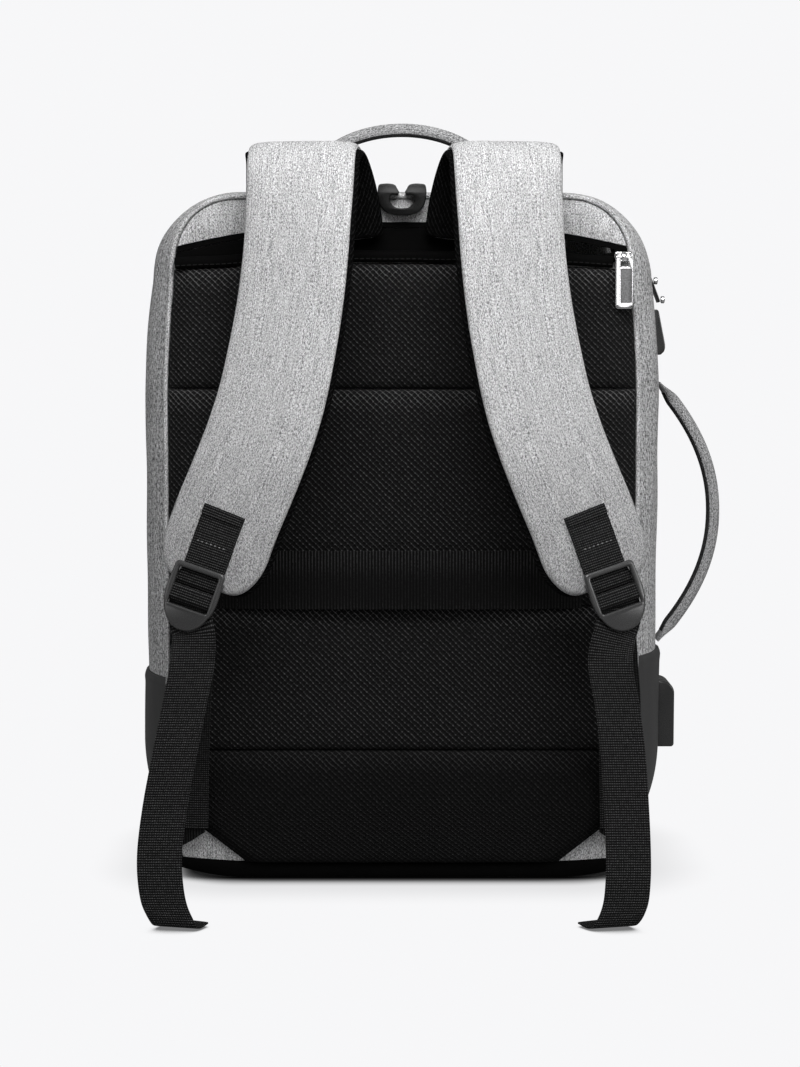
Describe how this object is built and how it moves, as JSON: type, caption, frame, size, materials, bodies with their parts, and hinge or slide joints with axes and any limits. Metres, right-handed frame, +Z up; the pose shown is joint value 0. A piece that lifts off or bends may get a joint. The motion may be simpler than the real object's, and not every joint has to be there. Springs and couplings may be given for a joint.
{
  "type": "anti theft backpack",
  "caption": "Upright rectangular laptop backpack with padded shoulder straps, mesh back padding, luggage strap, top and side handles, lock and charging socket housing.",
  "frame": {"origin": "middle of the flat base, on the floor it stands on", "axes": "+Z up, -Y towards the wearer's back (the strap side), +X to the side that carries the side handle"},
  "size_m": [0.3592, 0.2567, 0.4595],
  "materials": {
    "fabric": "melange weave, matt",
    "strap_fabric": "melange weave, matt",
    "mesh": "knitted air mesh, matt",
    "webbing": "ribbed webbing, matt",
    "coated": "coated cloth, satin",
    "plastic": "moulded, satin",
    "chrome": "polished"
  },
  "bodies": {
    "bag": {"gusset_back": "fabric", "gusset_front": "fabric", "front_panel_upper": "fabric", "back_panel": "fabric", "yoke": "fabric", "back_piping": "fabric", "top_handle": "fabric", "side_handle": "fabric", "strap_cover_left": "strap_fabric", "strap_cover_right": "strap_fabric", "pad_top": "mesh", "pad_upper": "mesh", "pad_middle": "mesh", "pad_bottom": "mesh", "strap_mesh_left": "mesh", "strap_mesh_right": "mesh", "pocket_band": "mesh", "main_zip": "webbing", "back_zip_tape": "webbing", "base_binding": "webbing", "mesh_binding": "webbing", "luggage_strap": "webbing", "strap_webbing_left": "webbing", "strap_webbing_right": "webbing", "adjust_webbing_left": "webbing", "adjust_webbing_right": "webbing", "strap_wing_left": "webbing", "strap_wing_right": "webbing", "boot_left": "coated", "boot_right": "coated", "base_panel": "coated", "front_panel_lower": "coated", "buckle_left": "plastic", "buckle_right": "plastic", "top_clip": "plastic", "lock_body": "plastic", "lock_plate": "plastic", "usb_housing": "plastic", "back_zip_slider": "chrome", "puller_upper": "chrome", "puller_lower": "chrome"},
    "zip_pull": {"back_zip_pull": "chrome"}
  },
  "joints": [
    {"name": "zip_pull_hinge", "type": "hinge", "parent": "bag", "child": "zip_pull", "pos_m": [0.1306, -0.0722, 0.37391], "axis": [-1, 0, 0], "range_deg": [0, 150]}
  ]
}
